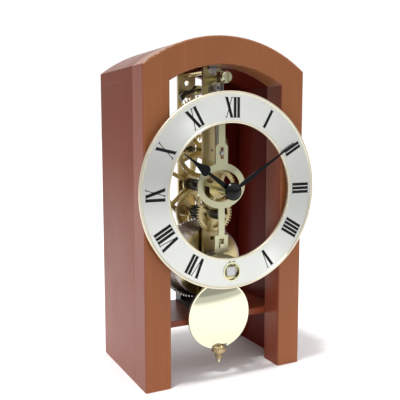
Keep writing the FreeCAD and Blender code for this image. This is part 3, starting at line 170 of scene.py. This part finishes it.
def wood(name, grain, light, dark, seed, inside=None, red_sides=False):
    """Satin lacquered, fine-grained reddish wood; grain is "x", "y" or "z".

    inside is the direction in which the case's interior lies: faces turned that way get painted shade, a darker
    colour and a weaker reflection; it also gives the wood the panels' painted shade towards the top in place of
    the front frame's painted light.
    red_sides gives the faces turned to the left and right the redder colour of the side panels."""
    tree = Tree(name)
    along = "xyz".index(grain)

    def streaks(frequencies, shift):
        across, length = frequencies
        scale = [across] * 3
        scale[along] = length
        return tree.stretched(tuple(scale), (shift, shift * 0.7, shift * 1.3))

    figure = tree.noise(streaks(FIGURE, seed), 1.0, 4.0, 0.55, 0.6)
    fibre = tree.noise(streaks(FIBRE, seed + 0.3), 1.0, 3.0, 0.6)
    pores = tree.noise(streaks(PORE, seed + 0.7), 1.0, 2.0, 0.5)
    cloud = tree.noise(tree.place, 14.0, 2.0)
    figure_part = tree.math("MULTIPLY", figure, FIGURE_SHARE)
    fibre_part = tree.math("MULTIPLY", fibre, FIBRE_SHARE)
    tone = tree.math("ADD", figure_part, fibre_part)
    middle = tuple((a + b) / 2 for a, b in zip(light, dark))
    colour = tree.ramp(tone, (0.20, dark), (0.50, middle), (0.80, light))
    shade = tree.ramp(cloud, (0.3, 0.90), (0.7, 1.0))
    colour = tree.mix(1.0, colour, shade, "MULTIPLY")
    pore_mask = tree.ramp(pores, (0.33, 1.0), (0.43, 0.0))
    colour = tree.mix(tree.math("MULTIPLY", pore_mask, 0.08), colour, tuple(part * 0.45 for part in dark))
    height = tree.parts(tree.place)["Z"]
    # painted light and shade: the wood's colour is multiplied by a tint that changes from the foot to the top of
    # the case
    top_painted_light_shade = FRONT_TOP_PAINTED_LIGHT if inside is None else PANEL_TOP_PAINTED_SHADE
    height_painted_light_shade = tree.ramp(height, (FOOT_HEIGHT, FOOT_PAINTED_SHADE), (TOP_HEIGHT, top_painted_light_shade))
    colour = tree.mix(1.0, colour, height_painted_light_shade, "MULTIPLY")
    rounded, wear = tree.edge(0.6 * MM)
    pale = tuple(min(1.0, part * 1.35 + 0.02) for part in light)
    colour = tree.mix(tree.math("MULTIPLY", wear, 0.15), colour, pale)
    shine = 0.35
    if red_sides:
        turned = tree.math("ABSOLUTE", tree.parts(tree.surface_normal())["X"])
        sideways = tree.ramp(turned, (0.6, 0.0), (0.8, 1.0))
        redder = tuple(red / orange for red, orange in zip(RED_LIGHT, LIGHT_WOOD))
        colour = tree.mix(sideways, colour, tree.mix(1.0, colour, redder, "MULTIPLY"))
    if inside is not None:
        # painted shade: faces turned towards the interior, which the case shades, get a darker colour
        facing = tree.vector("DOT_PRODUCT", tree.surface_normal(), inside).outputs["Value"]
        painted_inside_shade = tree.ramp(facing, (0.2, 0.0), (0.5, 1.0))
        colour = tree.mix(painted_inside_shade, colour, tree.mix(1.0, colour, INSIDE_PAINTED_SHADE, "MULTIPLY"))
        # painted shade of the reflection: the panels reflect less towards the top, as if a dim room were there,
        # and less on their inner faces
        reflection_by_height = tree.ramp(height, (0.03, 0.34), (0.12, 0.05))
        shine = tree.math("MULTIPLY", reflection_by_height, tree.ramp(painted_inside_shade, (0.0, 1.0), (1.0, 0.2)))
    gloss = tree.ramp(tree.noise(tree.place, 45.0, 4.0, 0.6), (0.3, 0.27), (0.7, 0.36))
    relief = tree.math("SUBTRACT", fibre, tree.math("MULTIPLY", pore_mask, 0.5))
    normal = tree.bump(relief, 0.10, 0.05 * MM, rounded)
    inputs = {
        "Base Color": colour,
        "Roughness": gloss,
        "Normal": normal,
        "IOR": 1.45,
        "Specular IOR Level": shine,
        "Coat Weight": 0.06,
        "Coat Roughness": 0.20,
    }
    return tree.finish(**inputs)


def centre(node):
    low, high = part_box(node)
    return tuple((low[axis] + high[axis]) / 2 for axis in range(3))


def centre_height(node):
    return centre(node)[2]


METAL_EDGE = 0.12 * MM
TURNING_LINES = 9000.0
BRUSHED_ACROSS, BRUSHED_ALONG = 7000.0, 160.0


def metal(name, colour, rough, height=None, lines=0.0, brushed=None, tarnish=0.12, knurled=None, dome=False):
    """Polished or turned metal.

    height is that of the turning axis, lines the strength of its turning marks, and brushed the direction of
    straight marks. knurled is (number of ribs, node whose upright axis they stand round). dome smooths the very
    centre of a spun shell."""
    tree = Tree(name)
    cloud = tree.noise(tree.place, 70.0, 4.0, 0.6)
    spots = tree.noise(tree.place, 520.0, 3.0, 0.7)
    mottled = tree.ramp(cloud, (0.25, tuple(part * (1 - tarnish) for part in colour)), (0.75, colour))
    worn = tree.mix(tree.ramp(spots, (0.62, 0.0), (0.75, 0.25)), mottled, tuple(part * 0.6 for part in colour))
    rounded, wear = tree.edge(METAL_EDGE)
    bright = tuple(min(1.0, part * 1.15 + 0.03) for part in colour)
    worn = tree.mix(tree.math("MULTIPLY", wear, 0.5), worn, bright)
    gloss = tree.math("ADD", tree.math("MULTIPLY", spots, 0.08), rough - 0.04)
    if dome:
        radius, _ = tree.about_axis(height)
        side = tree.math("SIGN", tree.parts(tree.surface_normal())["Y"])
        level = tree.add("ShaderNodeCombineXYZ", None, Y=side).outputs[0]
        rounded = tree.mix(tree.ramp(radius, (1.4 * MM, 1.0), (2.2 * MM, 0.0)), rounded, level)
    relief = tree.math("MULTIPLY", cloud, 0.4)
    normal = tree.bump(relief, 0.12, 0.06 * MM, rounded)
    if height is not None and lines > 0:
        radius, _ = tree.about_axis(height)
        marks = tree.noise_along(radius, TURNING_LINES, 3.0)
        normal = tree.bump(marks, lines, 0.03 * MM, normal)
    if brushed is not None:
        scale = [BRUSHED_ACROSS] * 3
        scale["xyz".index(brushed)] = BRUSHED_ALONG
        marks = tree.noise(tree.stretched(tuple(scale)), 1.0, 2.0)
        normal = tree.bump(marks, 0.25, 0.02 * MM, normal)
        gloss = tree.math("ADD", gloss, tree.math("MULTIPLY", marks, 0.06))
    if knurled is not None:
        rib_count, node = knurled
        from_axis = tree.parts(tree.vector("SUBTRACT", tree.place, centre(node)).outputs[0])
        angle = tree.math("ARCTAN2", from_axis["X"], from_axis["Y"])
        ribs = tree.math("SINE", tree.math("MULTIPLY", angle, float(rib_count)))
        normal = tree.bump(ribs, 0.5, 0.2 * MM, normal)
    return tree.finish(**{"Base Color": worn, "Metallic": 1.0, "Roughness": gloss, "Normal": normal})


RING_LINES = 14000.0


def silvered(name, height):
    """A silvered ring, brushed in circles about the dial's centre, so it shines in opposite sectors."""
    tree = Tree(name)
    radius, offset = tree.about_axis(height)
    marks = tree.noise_along(radius, RING_LINES, 3.0)
    cloud = tree.noise(tree.place, 30.0, 3.0)
    colour = tree.ramp(cloud, (0.3, (0.93, 0.95, 0.90)), (0.7, (0.97, 0.98, 0.94)))
    colour = tree.mix(tree.ramp(marks, (0.35, 0.08), (0.65, 0.0)), colour, (0.72, 0.74, 0.72))
    rounded, _ = tree.edge(0.1 * MM)
    across_marks = tree.vector("NORMALIZE", offset).outputs[0]
    gloss = tree.math("ADD", tree.math("MULTIPLY", cloud, 0.04), 0.40)
    inputs = {
        "Base Color": colour,
        "Metallic": 1.0,
        "Roughness": gloss,
        "Anisotropic": 0.92,
        "Tangent": across_marks,
        "Normal": tree.bump(marks, 0.12, 0.02 * MM, rounded),
    }
    return tree.finish(**inputs)


def lacquer(name, colour, rough, coat=0.5):
    """Glossy dark lacquer with faint orange-peel and dust."""
    tree = Tree(name)
    peel = tree.noise(tree.place, 900.0, 2.0)
    dust = tree.noise(tree.place, 2600.0, 3.0, 0.7)
    shade = tree.mix(tree.ramp(dust, (0.66, 0.0), (0.80, 0.35)), colour, tuple(part + 0.10 for part in colour))
    rounded, wear = tree.edge(0.12 * MM)
    shade = tree.mix(tree.math("MULTIPLY", wear, 0.25), shade, tuple(part + 0.06 for part in colour))
    gloss = tree.math("ADD", tree.math("MULTIPLY", peel, 0.10), rough)
    inputs = {
        "Base Color": shade,
        "Roughness": gloss,
        "Specular IOR Level": 0.25,
        "Normal": tree.bump(peel, 0.08, 0.05 * MM, rounded),
        "Coat Weight": coat,
        "Coat Roughness": 0.1,
    }
    return tree.finish(**inputs)


# ---------------------------------------------------------------- finishes for the frame's own pieces


def dress(material, *nodes):
    """Gives these nodes the material."""
    for name in nodes:
        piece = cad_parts[name]
        piece.data.materials.clear()
        piece.data.materials.append(material)


BRASS = (0.76, 0.75, 0.50)
GOLD = (0.72, 0.60, 0.32)
PALE_BRASS = (0.88, 0.82, 0.66)
BRIGHT_BRASS = (0.93, 0.91, 0.68)
OLD_BRASS = (0.60, 0.47, 0.26)
NICKEL = (0.56, 0.50, 0.48)
STEEL = (0.55, 0.55, 0.55)
DARK_STEEL = (0.12, 0.115, 0.12)
BLACK = (0.002, 0.002, 0.003)
INK = (0.004, 0.004, 0.005)
WORN_BLACK = (0.020, 0.020, 0.022)

dress(wood("wood_front", "z", LIGHT_WOOD, DARK_WOOD, 0.11, red_sides=True), "front_frame")
dress(wood("wood_left", "z", RED_LIGHT, RED_DARK, 0.37, (1.0, 0.0, 0.0)), "side_panel_left")
dress(wood("wood_right", "z", RED_LIGHT, RED_DARK, 0.58, (-1.0, 0.0, 0.0)), "side_panel_right")
dress(wood("wood_roof", "y", RED_LIGHT, RED_DARK, 0.83, (0.0, 0.0, -1.0)), "roof_panel")
dress(wood("wood_back", "z", RED_LIGHT, RED_DARK, 0.47, (0.0, -1.0, 0.0)), "back_frame")
dress(wood("wood_shelf", "x", RED_LIGHT, RED_DARK, 0.29), "seat_board")

dial_height = centre_height("chapter_ring")
dress(silvered("silver_ring", dial_height), "chapter_ring")
bezel = metal("brass_bezel", PALE_BRASS, 0.42, dial_height, 0.05)
dress(bezel, "dial_outer_bezel", "dial_inner_bezel")
dress(metal("brass_grommet", BRASS, 0.18, centre_height("winding_grommet"), 0.08), "winding_grommet")
dress(metal("brass_flat", BRASS, 0.30, brushed="z"), "pendulum_rod", "bob_hanger", "anchor_cock")
dress(metal("brass_small", BRASS, 0.24), "dial_feet", "suspension_block", "suspension_post", "suspension_screw")
dress(metal("gold_plate", GOLD, 0.28, brushed="z"), "front_plate", "back_plate", "second_cock")
dress(metal("gold_pillar", GOLD, 0.22), "top_pillar", "anchor_collet", "barrel_cap")
dress(metal("nickel_drum", NICKEL, 0.24, centre_height("barrel_drum"), 0.15), "barrel_drum")
for wheel in ("second_wheel", "centre_wheel", "third_wheel", "escape_wheel", "minute_wheel", "hour_wheel"):
    dress(metal("gold_" + wheel, GOLD, 0.26, centre_height(wheel), 0.30), wheel)
dress(metal("brass_pipe", BRASS, 0.22), "hour_pipe")
dress(metal("brass_nut", OLD_BRASS, 0.20, knurled=(28, "rating_nut")), "rating_nut")
steel = metal("steel_plain", STEEL, 0.24)
dress(
    steel,
    "pillar_screws",
    "plate_screws",
    "base_screws",
    "cock_screws",
    "click_screws",
    "anchor_cock_screw",
    "minute_stud",
    "barrel_arbor",
)
flat_steel = metal("steel_flat", STEEL, 0.30, brushed="z")
dress(flat_steel, "click", "click_spring", "crutch", "suspension_spring", "mainspring")
dress(metal("steel_ratchet", STEEL, 0.28, centre_height("barrel_arbor"), 0.3), "ratchet_wheel")
dark = metal("steel_dark", DARK_STEEL, 0.26)
dress(dark, "second_arbor", "centre_arbor", "third_arbor", "escape_arbor", "cannon_pinion", "minute_pinion")
dress(dark, "anchor", "anchor_arbor")
dress(lacquer("black_hands", BLACK, 0.16, 0.0), "hour_hand", "minute_hand", "hand_nut")
dress(lacquer("black_foot", WORN_BLACK, 0.35), "movement_base")
bob = metal("bright_bob", BRIGHT_BRASS, 0.07, centre_height("bob_back"), tarnish=0.04, dome=True)
dress(bob, "bob_front", "bob_back")


# ---------------------------------------------------------------- printed dial

RING_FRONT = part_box("chapter_ring")[0][1]
PRINT = 0.05 * MM
NUMERAL_BASE, NUMERAL_TOP = 38.5 * MM, 49.0 * MM
THICK, THIN, SERIF = 1.58 * MM, 0.40 * MM, 0.42 * MM
WIDE_SERIF, NARROW_SERIF, STEM_SERIF = 1.05 * MM, 0.62 * MM, 0.98 * MM
HOURS = ["I", "II", "III", "IIII", "V", "VI", "VII", "VIII", "IX", "X", "XI", "XII"]
HIDDEN_HOUR = 6
FOOT_TIP_SIDE, FOOT_TIP_DROP, FOOT_TIP_REACH = 1.3 * MM, 1.05 * MM, 0.75 * MM


def prism(mesh, points):
    """A thin raised shape on the ring; points are (x, z) about the dial's centre."""
    front = [mesh.verts.new((x, RING_FRONT - PRINT, dial_height + z)) for x, z in points]
    back = [mesh.verts.new((x, RING_FRONT + PRINT, dial_height + z)) for x, z in points]
    mesh.faces.new(front)
    mesh.faces.new(list(reversed(back)))
    for index in range(len(points)):
        after = (index + 1) % len(points)
        mesh.faces.new((front[index], back[index], back[after], front[after]))


def stroke(bottom, top, width):
    """A slanting or upright stroke between (x, height) points, cut level at both ends."""
    half = width / 2
    lower = [(bottom[0] - half, bottom[1]), (bottom[0] + half, bottom[1])]
    upper = [(top[0] + half, top[1]), (top[0] - half, top[1])]
    return lower + upper


def serif(x, height, reach, upward):
    """A short serif whose upper or lower side is bracketed into the stroke."""
    thick = SERIF * (1 if upward else -1)
    return [
        (x - reach, height),
        (x + reach, height),
        (x + reach, height + thick * 0.55),
        (x + reach * 0.55, height + thick),
        (x - reach * 0.55, height + thick),
        (x - reach, height + thick * 0.55),
    ]


def letter_strokes(letter):
    """(advance width, list of outlines) of one letter, from its left side and the numeral's foot."""
    foot, head = 0.0, NUMERAL_TOP - NUMERAL_BASE
    if letter == "I":
        middle = 1.05 * MM
        shapes = [stroke((middle, foot), (middle, head), THICK)]
        shapes += [serif(middle, foot, STEM_SERIF, True), serif(middle, head, STEM_SERIF, False)]
        return 2.1 * MM, shapes
    left, right = 0.85 * MM, 4.05 * MM
    if letter == "V":
        bottom = 2.35 * MM
        shapes = [stroke((bottom, foot), (left, head), THICK)]
        shapes += [stroke((bottom + 0.3 * MM, foot), (right, head), THIN)]
        shapes += [serif(left, head, WIDE_SERIF, False), serif(right, head, NARROW_SERIF, False)]
        return 4.7 * MM, shapes
    shapes = [stroke((right, foot), (left, head), THICK * 1.06), stroke((left, foot), (right, head), THIN)]
    shapes += [serif(right, foot, WIDE_SERIF, True), serif(left, head, WIDE_SERIF, False)]
    shapes += [serif(left, foot, NARROW_SERIF, True), serif(right, head, NARROW_SERIF, False)]
    return 4.9 * MM, shapes


def numeral_outlines(text):
    """All outlines of a numeral, centred on x = 0."""
    shapes, start = [], 0.0
    for letter in text:
        advance, outlines = letter_strokes(letter)
        shapes += [[(x + start, y) for x, y in outline] for outline in outlines]
        start += advance
    return [[(x - start / 2, y) for x, y in outline] for outline in shapes]


def on_dial(point, hour):
    """A numeral's own (x, height) turned to its hour, its foot towards the centre."""
    angle = math.radians(30 * hour)
    x, y = point[0], point[1] + NUMERAL_BASE
    return (x * math.cos(angle) + y * math.sin(angle), -x * math.sin(angle) + y * math.cos(angle))


def mesh_object(name, mesh, material, body):
    data = bpy.data.meshes.new(name)
    bmesh.ops.recalc_face_normals(mesh, faces=mesh.faces)
    mesh.to_mesh(data)
    mesh.free()
    piece = bpy.data.objects.new(name, data)
    bpy.context.scene.collection.objects.link(piece)
    data.materials.append(material)
    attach(piece, body)


def make_print():
    ink = lacquer("dial_ink", INK, 0.60, 0.0)
    for hour, text in enumerate(HOURS, start=1):
        if hour == HIDDEN_HOUR:
            # the winding hole leaves only the tips of this numeral's feet
            outlines = [serif(side * FOOT_TIP_SIDE, -FOOT_TIP_DROP, FOOT_TIP_REACH, True) for side in (-1, 1)]
        else:
            outlines = numeral_outlines(text)
        mesh = bmesh.new()
        for outline in outlines:
            prism(mesh, [on_dial(point, hour) for point in outline])
        mesh_object(f"numeral_{hour}", mesh, ink, "case")


make_print()


# ---------------------------------------------------------------- studio


KEY_DIRECTION, KEY_SPREAD, KEY_STRENGTH = (0.22, 0.09, -0.97), 6.0, 2.0
FRONT_DIM, LEFT_DIM, ROOM_LIGHT, OVERHEAD_LIGHT = 0.34, 0.55, 1.02, 1.25
CAMERA_PLACE, CAMERA_YAW, CAMERA_PITCH = (-0.15722, -0.30299, 0.13527), 27.106, 6.675
CAMERA_LENS, CAMERA_SENSOR = 53.65, 36.0


def backdrop():
    """A wide pale floor like a sheet of paper, with painted shade: its colour fades to near black towards the
    photographer and to the left.
    """
    tree = Tree("floor_white")
    cloud = tree.noise(tree.place, 3.0, 2.0)
    colour = tree.ramp(cloud, (0.3, (0.90, 0.90, 0.905)), (0.7, (0.915, 0.915, 0.92)))
    place = tree.parts(tree.place)
    # painted shade: the floor's colour darkens towards the photographer and to the left, where the room around
    # the paper is dim
    front = tree.ramp(tree.math("MULTIPLY", place["Y"], -1.0), (0.26, 0.0), (0.50, 0.62))
    left = tree.ramp(tree.math("MULTIPLY", place["X"], -1.0), (0.13, 0.0), (0.60, 0.40))
    colour = tree.mix(tree.math("MAXIMUM", front, left), colour, (0.05, 0.05, 0.05))
    material = tree.finish(**{"Base Color": colour, "Roughness": 0.55})
    mesh = bmesh.new()
    corners = [(-6.0, -4.0), (6.0, -4.0), (6.0, 8.0), (-6.0, 8.0)]
    mesh.faces.new([mesh.verts.new((x, y, 0.0)) for x, y in corners])
    data = bpy.data.meshes.new("floor")
    mesh.to_mesh(data)
    mesh.free()
    floor = bpy.data.objects.new("floor", data)
    bpy.context.scene.collection.objects.link(floor)
    data.materials.append(material)


def room():
    """A white tent of light, dimmer near the horizon to the left and in front, where the photographer stands."""
    world = bpy.data.worlds.new("studio")
    world.use_nodes = True
    nodes, links = world.node_tree.nodes, world.node_tree.links
    background = nodes["Background"]
    direction = nodes.new("ShaderNodeSeparateXYZ")
    links.new(nodes.new("ShaderNodeTexCoord").outputs["Generated"], direction.inputs[0])

    def rise(axis, start, end, low=0.0, high=1.0):
        node = nodes.new("ShaderNodeMapRange")
        node.interpolation_type = "SMOOTHSTEP"
        links.new(direction.outputs[axis], node.inputs["Value"])
        node.inputs["From Min"].default_value, node.inputs["From Max"].default_value = start, end
        node.inputs["To Min"].default_value, node.inputs["To Max"].default_value = low, high
        return node.outputs[0]

    def combine(operation, first, second):
        node = nodes.new("ShaderNodeMath")
        node.operation = operation
        links.new(first, node.inputs[0])
        links.new(second, node.inputs[1])
        return node.outputs[0]

    overhead = rise("Z", 0.14, 0.42, 0.0, OVERHEAD_LIGHT)
    front = combine("MAXIMUM", rise("Y", -0.20, 0.35, FRONT_DIM, ROOM_LIGHT), overhead)
    left = combine("MAXIMUM", rise("X", -0.35, 0.12, LEFT_DIM, ROOM_LIGHT), rise("Z", 0.35, 0.80))
    links.new(combine("MINIMUM", front, left), background.inputs["Strength"])
    background.inputs["Color"].default_value = (1.0, 1.0, 1.0, 1.0)
    bpy.context.scene.world = world


def sun(name, towards, spread, strength):
    """A lamp so far off that its light falls evenly on the whole floor; spread is its width in degrees."""
    lamp = bpy.data.lights.new(name, "SUN")
    lamp.angle = math.radians(spread)
    lamp.energy = strength
    light = bpy.data.objects.new(name, lamp)
    light.rotation_euler = Vector(towards).to_track_quat("-Z", "Y").to_euler()
    bpy.context.scene.collection.objects.link(light)


def studio():
    backdrop()
    sun("key", KEY_DIRECTION, KEY_SPREAD, KEY_STRENGTH)
    room()
    bpy.context.scene.view_settings.view_transform = "Standard"


def camera():
    """The photograph's view: from the left of the front, slightly above the middle."""
    yaw, pitch = math.radians(CAMERA_YAW), math.radians(CAMERA_PITCH)
    lens = bpy.data.cameras.new("camera")
    lens.lens, lens.sensor_width = CAMERA_LENS, CAMERA_SENSOR
    lens.clip_start = 0.01
    viewer = bpy.data.objects.new("camera", lens)
    viewer.location = CAMERA_PLACE
    forward = Vector((math.sin(yaw) * math.cos(pitch), math.cos(yaw) * math.cos(pitch), -math.sin(pitch)))
    viewer.rotation_euler = forward.to_track_quat("-Z", "Y").to_euler()
    bpy.context.scene.collection.objects.link(viewer)
    bpy.context.scene.camera = viewer


studio()
camera()
